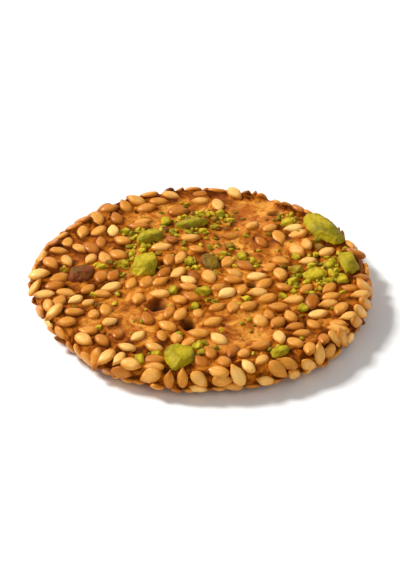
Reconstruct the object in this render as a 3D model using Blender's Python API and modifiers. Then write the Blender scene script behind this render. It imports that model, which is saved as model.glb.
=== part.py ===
"""A barazek: a thin, crisp, round biscuit with sesame seeds and chopped pistachio baked into it.

It lies as it is served, with the flat pistachio side up and the sesame side down. The biscuit is one piece:
a turned disc of dough, pulled a little out of round, with the seeds and the nut pieces sunk into it and
fused on. Units are metres, +Z is up, and the origin is under the middle of the biscuit, on the surface
that it lies on. +Y points to the back of the biscuit and +X to its right.
"""

import math
import random

import bmesh
import bpy
from mathutils import Matrix, Vector

MM = 0.001

# The section of the dough disc
DOUGH_RADIUS = 24.7 * MM
FLAT_TOP = 4.4 * MM  # height of the flat side, in the middle
RIM_TOP = 4.1 * MM  # where the flat side turns over into the rim
RIM_BOTTOM = 1.3 * MM  # where the rim turns in under the biscuit
DOUGH_BASE = 0.62 * MM  # height of the sesame side, in the middle
BASE_SHARE = 0.6  # share of the radius over which the sesame side is level
RIM_HALF = (RIM_TOP - RIM_BOTTOM) / 2
RIM_MIDDLE = (RIM_TOP + RIM_BOTTOM) / 2
FLAT_RADIUS = DOUGH_RADIUS - RIM_HALF

# How far the baked disc is from a true circle: (waves round the edge, height as a share, phase)
EDGE_WAVES = (
    (1, 0.018, 0.9),
    (2, 0.009, 0.6),
    (3, 0.006, 2.3),
    (5, 0.005, 4.4),
    (8, 0.005, 1.1),
    (13, 0.004, 3.0),
)
EDGE_DENT = 1.0 * MM  # the edge is pushed in at the front left
EDGE_DENT_ANGLE = math.radians(214)
EDGE_DENT_SPREAD = math.radians(15)

# Slow swells of the flat side: (length of the wave, its direction in degrees, its height, phase)
SWELLS = (
    (23 * MM, 20, 0.13 * MM, 0.4),
    (15 * MM, 105, 0.10 * MM, 2.2),
    (11 * MM, 62, 0.08 * MM, 4.0),
    (7.5 * MM, 150, 0.06 * MM, 1.3),
)
UNDER_SWELL = 0.25  # share of the swells that the sesame side has

# How finely the disc is turned
TURN_STEPS = 56
FACE_RINGS = 5
RIM_RINGS = 4

# A sesame seed, a flat teardrop
SEED_LENGTH = 3.2 * MM
SEED_WIDTH = 2.0 * MM
SEED_THICKNESS = 1.05 * MM
SEED_TAPER = 0.45  # how much narrower the pointed end is
SEED_SIDES = 7
SEED_BANDS = 3
SEED_PROUD = 0.64  # share of its thickness that stands out of the dough
SEED_SPREAD = 0.1  # seeds are this share larger or smaller than their mean
SEED_LEAN = math.radians(7)  # how far a seed may lean out of the dough's surface

# Where seeds lie
DRAW_SEED = 27
TRIES = 7000
OVER_SPACING = 3.2 * MM
RIM_SPACING = 2.65 * MM
UNDER_SPACING = 3.6 * MM
NUT_CLEARANCE = 0.5 * MM
BARE_PATCHES = (  # smooth dough on the flat side: (x, y, half width, half depth)
    (3.5 * MM, 16.0 * MM, 12.0 * MM, 6.5 * MM),
    (7.0 * MM, 8.0 * MM, 7.5 * MM, 4.5 * MM),
    (-12.5 * MM, -10.0 * MM, 4.5 * MM, 6.0 * MM),
    (6.5 * MM, -13.0 * MM, 4.5 * MM, 4.5 * MM),
)

# Chopped pistachio on the flat side: (x, y, length, width, height, turn in degrees)
OVER_NUTS = (
    (-8.2 * MM, 2.8 * MM, 6.8 * MM, 4.6 * MM, 3.0 * MM, 72),
    (-7.6 * MM, 9.8 * MM, 5.4 * MM, 3.3 * MM, 2.4 * MM, 42),
    (-1.2 * MM, 13.8 * MM, 6.6 * MM, 2.8 * MM, 2.2 * MM, 20),
    (18.6 * MM, 12.2 * MM, 10.8 * MM, 4.1 * MM, 2.9 * MM, -57),
    (22.2 * MM, 3.2 * MM, 6.4 * MM, 3.1 * MM, 2.5 * MM, -80),
    (17.2 * MM, 0.4 * MM, 4.4 * MM, 3.1 * MM, 2.2 * MM, 15),
    (-3.0 * MM, -20.4 * MM, 6.2 * MM, 4.7 * MM, 3.2 * MM, 78),
    (1.6 * MM, 3.4 * MM, 4.6 * MM, 2.9 * MM, 2.0 * MM, -62),
    (-17.8 * MM, 0.8 * MM, 5.2 * MM, 3.8 * MM, 1.9 * MM, 60),
    (11.6 * MM, -19.0 * MM, 3.6 * MM, 2.4 * MM, 2.0 * MM, 40),
)
# Smaller pieces caught in the sesame coat underneath
UNDER_NUTS = (
    (9.0 * MM, 8.0 * MM, 4.2 * MM, 3.0 * MM, 1.6 * MM, 50),
    (-12.0 * MM, -6.0 * MM, 3.8 * MM, 2.6 * MM, 1.5 * MM, -20),
    (3.0 * MM, -15.0 * MM, 3.4 * MM, 2.6 * MM, 1.5 * MM, 95),
)
OVER_SUNK = 0.45  # share of a nut piece's height that is in the dough
UNDER_SUNK = 0.6
# Knife cuts that square off a nut piece: (tilt from upright, turn about the upright, distance as a share)
NUT_CUTS = ((12, 8, 0.72), (74, 205, 0.78), (66, 95, 0.80))

FLAT_ENOUGH = math.radians(1.2)  # facets that meet at less than this become one

DOUGH_COLOUR = (0.46, 0.19, 0.045, 1.0)
DOUGH_ROUGHNESS = 0.55


def clear_scene():
    """Removes what the scene holds."""
    for obj in list(bpy.data.objects):
        bpy.data.objects.remove(obj)


def apply_modifiers(obj):
    """Makes the object's mesh what its modifiers give, and removes them."""
    graph = bpy.context.evaluated_depsgraph_get()
    mesh = bpy.data.meshes.new_from_object(obj.evaluated_get(graph))
    obj.modifiers.clear()
    obj.data = mesh


def smooth_step(share):
    """0 below 0, 1 above 1, and an S-curve between them."""
    share = min(1.0, max(0.0, share))
    return share * share * (3 - 2 * share)


def edge_pull(angle):
    """The dough's radius in this direction, as a share of the true circle's."""
    waves = sum(height * math.cos(count * angle + phase) for count, height, phase in EDGE_WAVES)
    off = math.remainder(angle - EDGE_DENT_ANGLE, math.tau) / EDGE_DENT_SPREAD
    return 1 + waves - EDGE_DENT / DOUGH_RADIUS * math.exp(-off * off)


def swell(x, y, height):
    """How far the dough rises at this place, less and less down the rim."""
    rise = 0.0
    for length, direction, amount, phase in SWELLS:
        turn = math.radians(direction)
        along = x * math.cos(turn) + y * math.sin(turn)
        rise += amount * math.cos(math.tau * along / length + phase)
    upper = smooth_step((height - RIM_BOTTOM) / (RIM_TOP - RIM_BOTTOM))
    return rise * (UNDER_SWELL + (1 - UNDER_SWELL) * upper)


def section(place):
    """(radius, height) of the true disc's section.

    place runs from 0 in the middle of the flat side, over 1 and 2 at the two ends of the round rim, to 3 in
    the middle of the sesame side.
    """
    if place <= 1:
        return FLAT_RADIUS * place, FLAT_TOP + (RIM_TOP - FLAT_TOP) * smooth_step(place)
    if place >= 2:
        share = 3 - place
        lift = smooth_step((share - BASE_SHARE) / (1 - BASE_SHARE))
        return FLAT_RADIUS * share, DOUGH_BASE + (RIM_BOTTOM - DOUGH_BASE) * lift
    latitude = math.pi * (1.5 - place)
    return FLAT_RADIUS + RIM_HALF * math.cos(latitude), RIM_MIDDLE + RIM_HALF * math.sin(latitude)


def shaped(angle, radius, height):
    """A point of the true disc, moved to where it is on the baked one."""
    x = radius * edge_pull(angle) * math.cos(angle)
    y = radius * edge_pull(angle) * math.sin(angle)
    return Vector((x, y, height + swell(x, y, height)))


def dough_point(angle, place):
    """The point of the dough's surface in this direction, at this place along the section."""
    return shaped(angle, *section(place))


def dough_frame(angle, place):
    """A matrix that stands on the dough's surface: its Z is the normal and its X runs along the section."""
    step = 1e-3
    onward = (dough_point(angle, place + step) - dough_point(angle, place - step)).normalized()
    around = dough_point(angle + step, place) - dough_point(angle - step, place)
    normal = onward.cross(around).normalized()
    axes = Matrix((onward, normal.cross(onward), normal)).transposed().to_4x4()
    return Matrix.Translation(dough_point(angle, place)) @ axes


def place_under(x, y, over):
    """(angle, place) of the point of the flat side, or else the sesame side, at x and y."""
    angle = math.atan2(y, x)
    radius = math.hypot(x, y) / edge_pull(angle)
    if radius <= FLAT_RADIUS:
        share = radius / FLAT_RADIUS
        return angle, (share if over else 3 - share)
    turned = math.asin(min(1.0, (radius - FLAT_RADIUS) / RIM_HALF)) / math.pi
    return angle, (1 + turned if over else 2 - turned)


def turned_dough():
    """The disc of dough: its section turned about Z, then pulled out of round and swelled."""
    places = [n / FACE_RINGS for n in range(FACE_RINGS)]
    places += [1 + n / RIM_RINGS for n in range(RIM_RINGS)]
    places += [2 + n / FACE_RINGS for n in range(FACE_RINGS + 1)]
    bm = bmesh.new()
    points = []
    for place in places:
        radius, height = section(place)
        points.append(bm.verts.new((radius, 0, height)))
    for first, second in zip(points, points[1:]):
        bm.edges.new((first, second))
    mesh = bpy.data.meshes.new("dough_section")
    bm.to_mesh(mesh)
    bm.free()

    dough = bpy.data.objects.new("dough", mesh)
    bpy.context.scene.collection.objects.link(dough)
    screw = dough.modifiers.new("Turn", "SCREW")
    screw.steps = screw.render_steps = TURN_STEPS
    screw.use_merge_vertices = True
    screw.merge_threshold = 0.01 * MM
    apply_modifiers(dough)
    for vertex in dough.data.vertices:
        x, y, height = vertex.co
        vertex.co = shaped(math.atan2(y, x), math.hypot(x, y), height)
    return dough


def seed_mesh():
    """One sesame seed, its length along X and its flat sides up and down."""
    bm = bmesh.new()
    bmesh.ops.create_uvsphere(bm, u_segments=SEED_SIDES, v_segments=SEED_BANDS, radius=0.5)
    widest = max(vertex.co.x for vertex in bm.verts)
    for vertex in bm.verts:
        along, across, up = vertex.co.x / widest, vertex.co.y / widest, vertex.co.z
        taper = 1 - SEED_TAPER * smooth_step(along)
        vertex.co = (SEED_LENGTH / 2 * along, SEED_WIDTH / 2 * across * taper, SEED_THICKNESS * up)
    mesh = bpy.data.meshes.new("sesame_seed")
    bm.to_mesh(mesh)
    bm.free()
    return mesh


def nut_mesh(name, length, width, height, cuts):
    """A chopped piece of kernel: an egg with flat sides where the knife went."""
    bm = bmesh.new()
    bmesh.ops.create_icosphere(bm, subdivisions=2, radius=0.5)
    bmesh.ops.scale(bm, vec=(length, width, height), verts=bm.verts)
    for tilt, turn, share in cuts:
        lean, heading = math.radians(tilt), math.radians(turn)
        out = Vector((math.sin(lean) * math.cos(heading), math.sin(lean) * math.sin(heading), math.cos(lean)))
        reach = 0.5 * Vector((length * out.x, width * out.y, height * out.z)).length
        everything = bm.verts[:] + bm.edges[:] + bm.faces[:]
        cut = bmesh.ops.bisect_plane(
            bm, geom=everything, plane_co=out * reach * share, plane_no=out, clear_outer=True
        )
        loop = [part for part in cut["geom_cut"] if isinstance(part, bmesh.types.BMEdge)]
        bmesh.ops.edgeloop_fill(bm, edges=loop)
    bmesh.ops.remove_doubles(bm, verts=bm.verts, dist=0.12 * MM)
    bm.normal_update()
    bmesh.ops.recalc_face_normals(bm, faces=bm.faces)
    mesh = bpy.data.meshes.new(name)
    bm.to_mesh(mesh)
    bm.free()
    return mesh


def nut_frame(x, y, turn, over):
    """A matrix that stands on one side of the dough, its X at this turn as seen from above."""
    stand = dough_frame(*place_under(x, y, over))
    normal = stand.col[2].to_3d()
    ahead = Vector((math.cos(turn), math.sin(turn), 0))
    ahead = (ahead - normal * ahead.dot(normal)).normalized()
    axes = Matrix((ahead, normal.cross(ahead), normal)).transposed().to_4x4()
    return Matrix.Translation(stand.translation) @ axes


def add_nuts(toppings, nuts, over):
    """Puts chopped pieces on one side, each sunk into the dough and with its own knife cuts."""
    side, sunk = ("over", OVER_SUNK) if over else ("under", UNDER_SUNK)
    for number, (x, y, length, width, height, turn) in enumerate(nuts):
        cuts = [(tilt, heading + 47 * number, share) for tilt, heading, share in NUT_CUTS]
        name = f"nut_{side}_{number}"
        nut = bpy.data.objects.new(name, nut_mesh(name, length, width, height, cuts))
        lift = Matrix.Translation((0, 0, height * (0.5 - sunk)))
        nut.matrix_world = nut_frame(x, y, math.radians(turn), over) @ lift
        toppings.objects.link(nut)


def is_bare(x, y):
    """True where the flat side shows smooth dough."""
    return any(
        math.hypot((x - right) / wide, (y - back) / deep) < 1 for right, back, wide, deep in BARE_PATCHES
    )


def is_near_nut(x, y, nuts):
    """True where a seed would lie on a nut piece."""
    reach = SEED_WIDTH / 2 + NUT_CLEARANCE
    for right, back, length, width, _, turn in nuts:
        heading = math.radians(turn)
        along = (x - right) * math.cos(heading) + (y - back) * math.sin(heading)
        across = (y - back) * math.cos(heading) - (x - right) * math.sin(heading)
        if math.hypot(along / (length / 2 + reach), across / (width / 2 + reach)) < 1:
            return True
    return False


def thrown(draw):
    """(angle, place) of a random spot of the dough, the same chance for every bit of its surface."""
    face = FLAT_RADIUS**2
    rim = 2 * RIM_HALF * (math.pi * FLAT_RADIUS + 2 * RIM_HALF)
    spot = draw.random() * (2 * face + rim)
    angle = math.tau * draw.random()
    if spot < face:
        return angle, math.sqrt(spot / face)
    if spot < face + rim:
        return angle, 1 + (spot - face) / rim
    return angle, 3 - math.sqrt((spot - face - rim) / face)


def seed_places(draw):
    """(angle, place, turn, lean, size) of each seed, thrown at random and kept apart."""
    kept, seeds = [], []
    for _ in range(TRIES):
        angle, place = thrown(draw)
        turn = math.tau * draw.random()
        lean = SEED_LEAN * (2 * draw.random() - 1)
        size = 1 + SEED_SPREAD * (2 * draw.random() - 1)
        at = dough_point(angle, place)
        over = place < 1.5
        if over and is_bare(at.x, at.y) or is_near_nut(at.x, at.y, OVER_NUTS if over else UNDER_NUTS):
            continue
        spacing = OVER_SPACING if place < 1 else UNDER_SPACING if place > 2 else RIM_SPACING
        if all((at - other).length > spacing for other in kept):
            kept.append(at)
            seeds.append((angle, place, turn, lean, size))
    return seeds


def add_seeds(toppings):
    """Sinks the sesame seeds into both sides and the rim."""
    mesh = seed_mesh()
    lift = Matrix.Translation((0, 0, SEED_THICKNESS * (SEED_PROUD - 0.5)))
    for number, (angle, place, turn, lean, size) in enumerate(seed_places(random.Random(DRAW_SEED))):
        seed = bpy.data.objects.new(f"seed_{number}", mesh)
        lay = Matrix.Rotation(turn, 4, "Z") @ Matrix.Rotation(lean, 4, "Y") @ Matrix.Scale(size, 4)
        seed.matrix_world = dough_frame(angle, place) @ lift @ lay
        toppings.objects.link(seed)


def fuse(biscuit, toppings):
    """Joins the toppings to the dough as one solid, and removes what it joined."""
    union = biscuit.modifiers.new("Fuse", "BOOLEAN")
    union.operation = "UNION"
    union.operand_type = "COLLECTION"
    union.collection = toppings
    union.solver = "EXACT"
    apply_modifiers(biscuit)
    for topping in list(toppings.objects):
        bpy.data.objects.remove(topping)
    bpy.data.collections.remove(toppings)


def press_on_tray(biscuit):
    """Levels the seeds that the biscuit lies on, as the baking tray does, and joins facets that are in line."""
    for vertex in biscuit.data.vertices:
        vertex.co.z = max(vertex.co.z, 0.0)
    join_facets = biscuit.modifiers.new("Join facets", "DECIMATE")
    join_facets.decimate_type = "DISSOLVE"
    join_facets.angle_limit = FLAT_ENOUGH
    apply_modifiers(biscuit)


def baked_dough():
    """The biscuit's material."""
    material = bpy.data.materials.new("baked_dough")
    material.use_nodes = True
    shader = material.node_tree.nodes["Principled BSDF"]
    shader.inputs["Base Color"].default_value = DOUGH_COLOUR
    shader.inputs["Roughness"].default_value = DOUGH_ROUGHNESS
    shader.inputs["Metallic"].default_value = 0.0
    return material


def main():
    """Builds the biscuit."""
    clear_scene()
    toppings = bpy.data.collections.new("Toppings")
    bpy.context.scene.collection.children.link(toppings)
    add_nuts(toppings, OVER_NUTS, over=True)
    add_nuts(toppings, UNDER_NUTS, over=False)
    add_seeds(toppings)

    biscuit = turned_dough()
    fuse(biscuit, toppings)
    press_on_tray(biscuit)
    biscuit.name = "barazek"
    biscuit.data.name = "barazek"
    biscuit.data.materials.clear()
    biscuit.data.materials.append(baked_dough())

    home = bpy.data.collections.new("Barazek")
    bpy.context.scene.collection.children.link(home)
    bpy.context.scene.collection.objects.unlink(biscuit)
    home.objects.link(biscuit)


main()
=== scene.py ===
"""The looks of one barazek: baked dough, toasted sesame seeds and chopped pistachio.

Everything is in metres, in the part's own frame: +Z is up, out of the pistachio side, +X is to the right and
+Y to the back of the biscuit, and it lies on z = 0.
"""

import logging
import math
import random
from collections.abc import Sequence
from dataclasses import dataclass, field
from enum import Enum

import bmesh
import bpy
import numpy as np
from mathutils import Matrix, Vector, noise


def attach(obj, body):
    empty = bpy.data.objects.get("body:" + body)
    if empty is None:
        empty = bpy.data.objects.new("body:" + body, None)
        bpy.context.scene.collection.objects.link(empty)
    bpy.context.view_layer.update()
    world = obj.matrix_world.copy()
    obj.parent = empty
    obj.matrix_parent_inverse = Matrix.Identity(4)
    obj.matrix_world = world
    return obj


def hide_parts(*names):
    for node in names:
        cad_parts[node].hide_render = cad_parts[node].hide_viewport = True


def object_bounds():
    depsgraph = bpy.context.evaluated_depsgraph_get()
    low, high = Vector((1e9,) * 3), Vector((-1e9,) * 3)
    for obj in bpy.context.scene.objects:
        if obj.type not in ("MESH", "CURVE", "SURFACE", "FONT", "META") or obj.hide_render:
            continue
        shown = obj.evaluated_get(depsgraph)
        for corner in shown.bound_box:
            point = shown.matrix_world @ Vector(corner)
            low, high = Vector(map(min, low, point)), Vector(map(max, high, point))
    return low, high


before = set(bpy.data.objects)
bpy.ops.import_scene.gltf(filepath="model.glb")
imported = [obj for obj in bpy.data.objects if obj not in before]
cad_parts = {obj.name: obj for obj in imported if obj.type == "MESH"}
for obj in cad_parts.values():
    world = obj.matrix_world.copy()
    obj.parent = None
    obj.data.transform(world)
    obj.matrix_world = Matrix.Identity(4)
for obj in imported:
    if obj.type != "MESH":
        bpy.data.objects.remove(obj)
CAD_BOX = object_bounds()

MM = 0.001
NODE = "barazek"
BODY = "root"
LOG = logging.getLogger(NODE)

Colour = tuple[int, int, int]
Range = tuple[float, float]
Socket = bpy.types.NodeSocket

# The numbers of the Mix node's colour sockets, which share their names with its other ones.
FIRST_COLOUR, SECOND_COLOUR, MIXED_COLOUR = 6, 7, 2


class Slot(Enum):
    """Names for the material slots, which nothing here uses."""

    DOUGH = "baked_dough"
    SESAME = "sesame"
    PISTACHIO = "pistachio"


class Side(Enum):
    """Where on the biscuit a thing lies."""

    OVER = "over"
    RIM = "rim"
    UNDER = "under"


def per_side(over: float, rim: float, under: float) -> dict[Side, float]:
    """A number for each side of the biscuit."""
    return {Side.OVER: over, Side.RIM: rim, Side.UNDER: under}


def mm(*lengths: float) -> tuple[float, ...]:
    """Lengths in millimetres, turned into metres."""
    return tuple(length * MM for length in lengths)


def linear(colour: Colour) -> tuple[float, float, float, float]:
    """Turns a screen colour into the linear one that a shader takes, by the sRGB standard's curve.

    Args:
        colour: Red, green and blue from 0 to 255, as a picture on a screen has them.

    Returns:
        The same colour in linear light, with full opacity.
    """
    shares = [value / 255 for value in colour]
    red, green, blue = [s / 12.92 if s <= 0.04045 else ((s + 0.055) / 1.055) ** 2.4 for s in shares]
    return red, green, blue, 1.0


def smooth_step(share: float) -> float:
    """0 below 0, 1 above 1, and an S-curve between them."""
    share = min(1.0, max(0.0, share))
    return share * share * (3 - 2 * share)


def fade(values: np.ndarray, start: float, length: float) -> np.ndarray:
    """0 up to the start, 1 from this length further on, and an S-curve between them, for many values."""
    shares = np.clip((values - start) / length, 0.0, 1.0)
    return shares * shares * (3 - 2 * shares)


def standing(at: Vector, ahead: Vector, normal: Vector) -> Matrix:
    """A matrix at this place, whose X looks ahead and whose Z is the normal."""
    axes = Matrix((ahead, normal.cross(ahead), normal)).transposed().to_4x4()
    return Matrix.Translation(at) @ axes


# --- Handling objects and meshes -------------------------------------------------------------------------


def add_object(name: str, data: bpy.types.ID) -> bpy.types.Object:
    """Puts a new object in the scene.

    Args:
        name: Its name.
        data: Its mesh, lamp or camera.

    Returns:
        The object.
    """
    thing = bpy.data.objects.new(name, data)
    bpy.context.scene.collection.objects.link(thing)
    return thing


def pick(*pieces: bpy.types.Object) -> None:
    """Selects these pieces and no others, and makes the first one active.

    Args:
        *pieces: The pieces.
    """
    bpy.ops.object.select_all(action="DESELECT")
    for piece in pieces:
        piece.select_set(True)
    bpy.context.view_layer.objects.active = pieces[0]


def remesh(piece: bpy.types.Object, voxel: float) -> None:
    """Rebuilds a piece as one closed, even mesh.

    Args:
        piece: The piece.
        voxel: How fine the new mesh is.
    """
    pick(piece)
    modifier = piece.modifiers.new("Remesh", "REMESH")
    modifier.mode, modifier.voxel_size = "VOXEL", voxel
    bpy.ops.object.modifier_apply(modifier=modifier.name)


def dress(piece: bpy.types.Object, name: str, material: bpy.types.Material) -> None:
    """Gives a finished piece its name and its only material.

    Args:
        piece: The piece.
        name: The piece's name.
        material: Its material.
    """
    piece.name = piece.data.name = name
    piece.data.materials.clear()
    piece.data.materials.append(material)


def rows_of(items: bpy.types.bpy_prop_collection, name: str) -> np.ndarray:
    """Reads one vector of each item.

    Args:
        items: The items, such as a mesh's points.
        name: The vector's name on an item.

    Returns:
        The vectors, one row each.
    """
    rows = np.empty(len(items) * 3)
    items.foreach_get(name, rows)
    return rows.reshape(-1, 3)


def points_of(piece: bpy.types.Object) -> np.ndarray:
    """The piece's points, one row each."""
    return rows_of(piece.data.vertices, "co")


def normals_of(piece: bpy.types.Object) -> np.ndarray:
    """The normal at each of the piece's points, one row each."""
    return rows_of(piece.data.vertex_normals, "vector")


def move_points(piece: bpy.types.Object, points: np.ndarray) -> None:
    """Puts the piece's points at these places."""
    piece.data.vertices.foreach_set("co", points.ravel())
    piece.data.update()


def held_above(points: np.ndarray, floor: float) -> np.ndarray:
    """The same points, with those that lie lower than this height lifted to it."""
    points[:, 2] = np.maximum(points[:, 2], floor)
    return points


def paint(piece: bpy.types.Object, name: str, values: np.ndarray) -> None:
    """Gives the piece a number or a vector at each point, which its material reads.

    Args:
        piece: The piece.
        name: The name by which the material reads it.
        values: One number or one row for each point.
    """
    kind, key = ("FLOAT_VECTOR", "vector") if values.ndim > 1 else ("FLOAT", "value")
    layer = piece.data.attributes.new(name, kind, "POINT")
    layer.data.foreach_set(key, values.astype(np.float32).ravel())


def noise_at(points: np.ndarray, size: float, shift: float = 0.0) -> np.ndarray:
    """Smooth noise from about -1 to 1, with hills this far apart; another shift gives another pattern."""
    return np.array([noise.noise(Vector(row)) for row in points / size + shift])


def hills(points: np.ndarray, size: float, height: float, shift: float) -> np.ndarray:
    """Smooth hills, this far apart and about this high."""
    return height * noise_at(points, size, shift)


# --- The form of the biscuit -----------------------------------------------------------------------------


@dataclass(frozen=True)
class BakedDisc:
    """The form of the dough: a turned disc with a round rim, a little out of round, and slowly swelled.

    A place on it is an angle about Z and a number along its section, which runs from 0 in the middle of the
    flat side, over 1 and 2 at the two ends of the round rim, to 3 in the middle of the sesame side. An edge
    wave is its count round the rim, its height and its phase, and a swell its length, its direction in
    degrees, its height and its phase.
    """

    radius: float = 24.7 * MM
    flat_top: float = 4.4 * MM
    rim_top: float = 4.1 * MM
    rim_bottom: float = 1.3 * MM
    base: float = 0.62 * MM
    base_share: float = 0.6
    rim_place: float = 1.5
    edge_waves: tuple[tuple[int, float, float], ...] = (
        (1, 0.018, 0.9),
        (2, 0.009, 0.6),
        (3, 0.006, 2.3),
        (5, 0.005, 4.4),
        (8, 0.005, 1.1),
        (13, 0.004, 3.0),
    )
    dent: float = 1.0 * MM
    dent_angle: float = math.radians(214)
    dent_spread: float = math.radians(15)
    swells: tuple[tuple[float, float, float, float], ...] = (
        (23 * MM, 20, 0.13 * MM, 0.4),
        (15 * MM, 105, 0.10 * MM, 2.2),
        (11 * MM, 62, 0.08 * MM, 4.0),
        (7.5 * MM, 150, 0.06 * MM, 1.3),
    )
    under_swell: float = 0.25
    probe: float = 1e-3

    @property
    def rim_half(self) -> float:
        """Half the height of the round rim."""
        return (self.rim_top - self.rim_bottom) / 2

    @property
    def rim_middle(self) -> float:
        """The height of the rim's middle."""
        return (self.rim_top + self.rim_bottom) / 2

    @property
    def flat_radius(self) -> float:
        """Where the flat side turns over into the rim."""
        return self.radius - self.rim_half

    def edge_pull(self, angle: float) -> float:
        """The dough's outline against the true circle.

        Args:
            angle: A direction about Z.

        Returns:
            The dough's radius there, as a share of the circle's.
        """
        waves = sum(height * math.cos(count * angle + phase) for count, height, phase in self.edge_waves)
        off = math.remainder(angle - self.dent_angle, math.tau) / self.dent_spread
        return 1 + waves - self.dent / self.radius * math.exp(-off * off)

    def upper(self, height: float) -> float:
        """How far up the rim this height is: 0 at its foot, 1 at its top, by an S-curve."""
        return smooth_step((height - self.rim_bottom) / (self.rim_top - self.rim_bottom))

    def swell(self, x: float, y: float, height: float) -> float:
        """How far the dough rises, less and less down the rim.

        Args:
            x: How far to the right the point is.
            y: How far to the back it is.
            height: How high it was.

        Returns:
            The rise.
        """
        rise = 0.0
        for length, direction_angle, amount, phase in self.swells:
            turn = math.radians(direction_angle)
            along = x * math.cos(turn) + y * math.sin(turn)
            rise += amount * math.cos(math.tau * along / length + phase)
        return rise * (self.under_swell + (1 - self.under_swell) * self.upper(height))

    def lift(self, share: float) -> float:
        """How far the sesame side has risen towards the rim at this share of the radius."""
        return smooth_step((share - self.base_share) / (1 - self.base_share))

    def section(self, place: float) -> tuple[float, float]:
        """The section of the true disc.

        Args:
            place: A place along the section, from 0 to 3.

        Returns:
            The radius and the height there.
        """
        if place <= 1:
            rise = (self.rim_top - self.flat_top) * smooth_step(place)
            return self.flat_radius * place, self.flat_top + rise
        if place >= 2:
            share = 3 - place
            return self.flat_radius * share, self.base + (self.rim_bottom - self.base) * self.lift(share)
        latitude = math.pi * (self.rim_place - place)
        across = self.flat_radius + self.rim_half * math.cos(latitude)
        return across, self.rim_middle + self.rim_half * math.sin(latitude)

    def shaped(self, angle: float, radius: float, height: float) -> Vector:
        """Moves a point of the true disc to where it is on the baked one.

        Args:
            angle: The point's angle about Z.
            radius: How far from Z it is.
            height: How high it is.

        Returns:
            The point on the baked disc.
        """
        x = radius * self.edge_pull(angle) * math.cos(angle)
        y = radius * self.edge_pull(angle) * math.sin(angle)
        return Vector((x, y, height + self.swell(x, y, height)))

    def point(self, angle: float, place: float) -> Vector:
        """The point of the dough's surface at this place."""
        return self.shaped(angle, *self.section(place))

    def stand(self, angle: float, place: float) -> Matrix:
        """Stands on the dough, by two points a probe's length apart in each direction.

        Args:
            angle: The angle about Z.
            place: The place along the section.

        Returns:
            A matrix whose Z is the normal and whose X runs along the section.
        """
        onward = (self.point(angle, place + self.probe) - self.point(angle, place - self.probe)).normalized()
        around = self.point(angle + self.probe, place) - self.point(angle - self.probe, place)
        normal = onward.cross(around).normalized()
        return standing(self.point(angle, place), onward, normal)

    def place_at(self, x: float, y: float, over: bool) -> tuple[float, float]:
        """The angle and place of the point of one side at x and y.

        Args:
            x: How far to the right it is.
            y: How far to the back it is.
            over: True for the flat side, False for the side it lies on.

        Returns:
            The angle about Z, and the place along the section.
        """
        angle = math.atan2(y, x)
        radius = math.hypot(x, y) / self.edge_pull(angle)
        if radius <= self.flat_radius:
            share = radius / self.flat_radius
            return angle, (share if over else 3 - share)
        turned = math.asin(min(1.0, (radius - self.flat_radius) / self.rim_half)) / math.pi
        return angle, (1 + turned if over else 2 - turned)

    def lie(self, x: float, y: float, turn: float, over: bool) -> Matrix:
        """Lies on one side of the dough.

        Args:
            x: How far to the right.
            y: How far to the back.
            turn: The angle of X, as seen from above.
            over: True for the flat side, False for the side it lies on.

        Returns:
            A matrix whose Z is the normal there.
        """
        stand = self.stand(*self.place_at(x, y, over))
        normal = stand.col[2].to_3d()
        ahead = Vector((math.cos(turn), math.sin(turn), 0))
        ahead = (ahead - normal * ahead.dot(normal)).normalized()
        return standing(stand.translation, ahead, normal)

    def thrown(self, draw: random.Random) -> tuple[float, float]:
        """Throws a spot, with the same chance for every bit of the surface.

        Args:
            draw: Where the chance comes from.

        Returns:
            The spot's angle about Z, and its place along the section.
        """
        face = self.flat_radius**2
        rim = 2 * self.rim_half * (math.pi * self.flat_radius + 2 * self.rim_half)
        spot = draw.random() * (2 * face + rim)
        angle = math.tau * draw.random()
        if spot < face:
            return angle, math.sqrt(spot / face)
        if spot < face + rim:
            return angle, 1 + (spot - face) / rim
        return angle, 3 - math.sqrt((spot - face - rim) / face)

    @staticmethod
    def side(place: float) -> Side:
        """The side that a place along the section is on."""
        return Side.OVER if place < 1 else Side.UNDER if place > 2 else Side.RIM


@dataclass(frozen=True)
class Patch:
    """An oval of the flat side, seen from above."""

    x: float
    y: float
    wide: float
    deep: float

    def share(self, x: float, y: float) -> float:
        """How far out this point is: 0 in the oval's middle, 1 on its edge."""
        return math.hypot((x - self.x) / self.wide, (y - self.y) / self.deep)


@dataclass(frozen=True)
class Nut:
    """A chopped piece of pistachio: its place, its turn in degrees, its share of skin and how ripe it is."""

    x: float
    y: float
    length: float
    width: float
    height: float
    turn: float
    skin: float
    ripe: float

    def share(self, x: float, y: float, reach: float) -> float:
        """How far out a point is from the piece.

        Args:
            x: How far to the right the point is.
            y: How far to the back it is.
            reach: How far the piece is widened.

        Returns:
            Below 1 on the widened piece, 1 on its edge, and above 1 beside it.
        """
        heading = math.radians(self.turn)
        along = (x - self.x) * math.cos(heading) + (y - self.y) * math.sin(heading)
        across = (y - self.y) * math.cos(heading) - (x - self.x) * math.sin(heading)
        return math.hypot(along / (self.length / 2 + reach), across / (self.width / 2 + reach))


@dataclass(frozen=True)
class Drift:
    """A line along which smaller bits of pistachio lie, and how many were thrown there."""

    start: tuple[float, ...]
    end: tuple[float, ...]
    thrown: int

    def spot(self, draw: random.Random, spread: float) -> Range:
        """Throws a spot on the line or beside it.

        Args:
            draw: Where the chance comes from.
            spread: How far beside the line the spots stray.

        Returns:
            The spot's x and y.
        """
        share = draw.random()
        x, y = (first + share * (last - first) for first, last in zip(self.start, self.end))
        return x + draw.gauss(0, spread), y + draw.gauss(0, spread)


@dataclass(frozen=True)
class Pore:
    """A bubble of the dough that broke open."""

    x: float
    y: float
    radius: float
    depth: float


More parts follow.
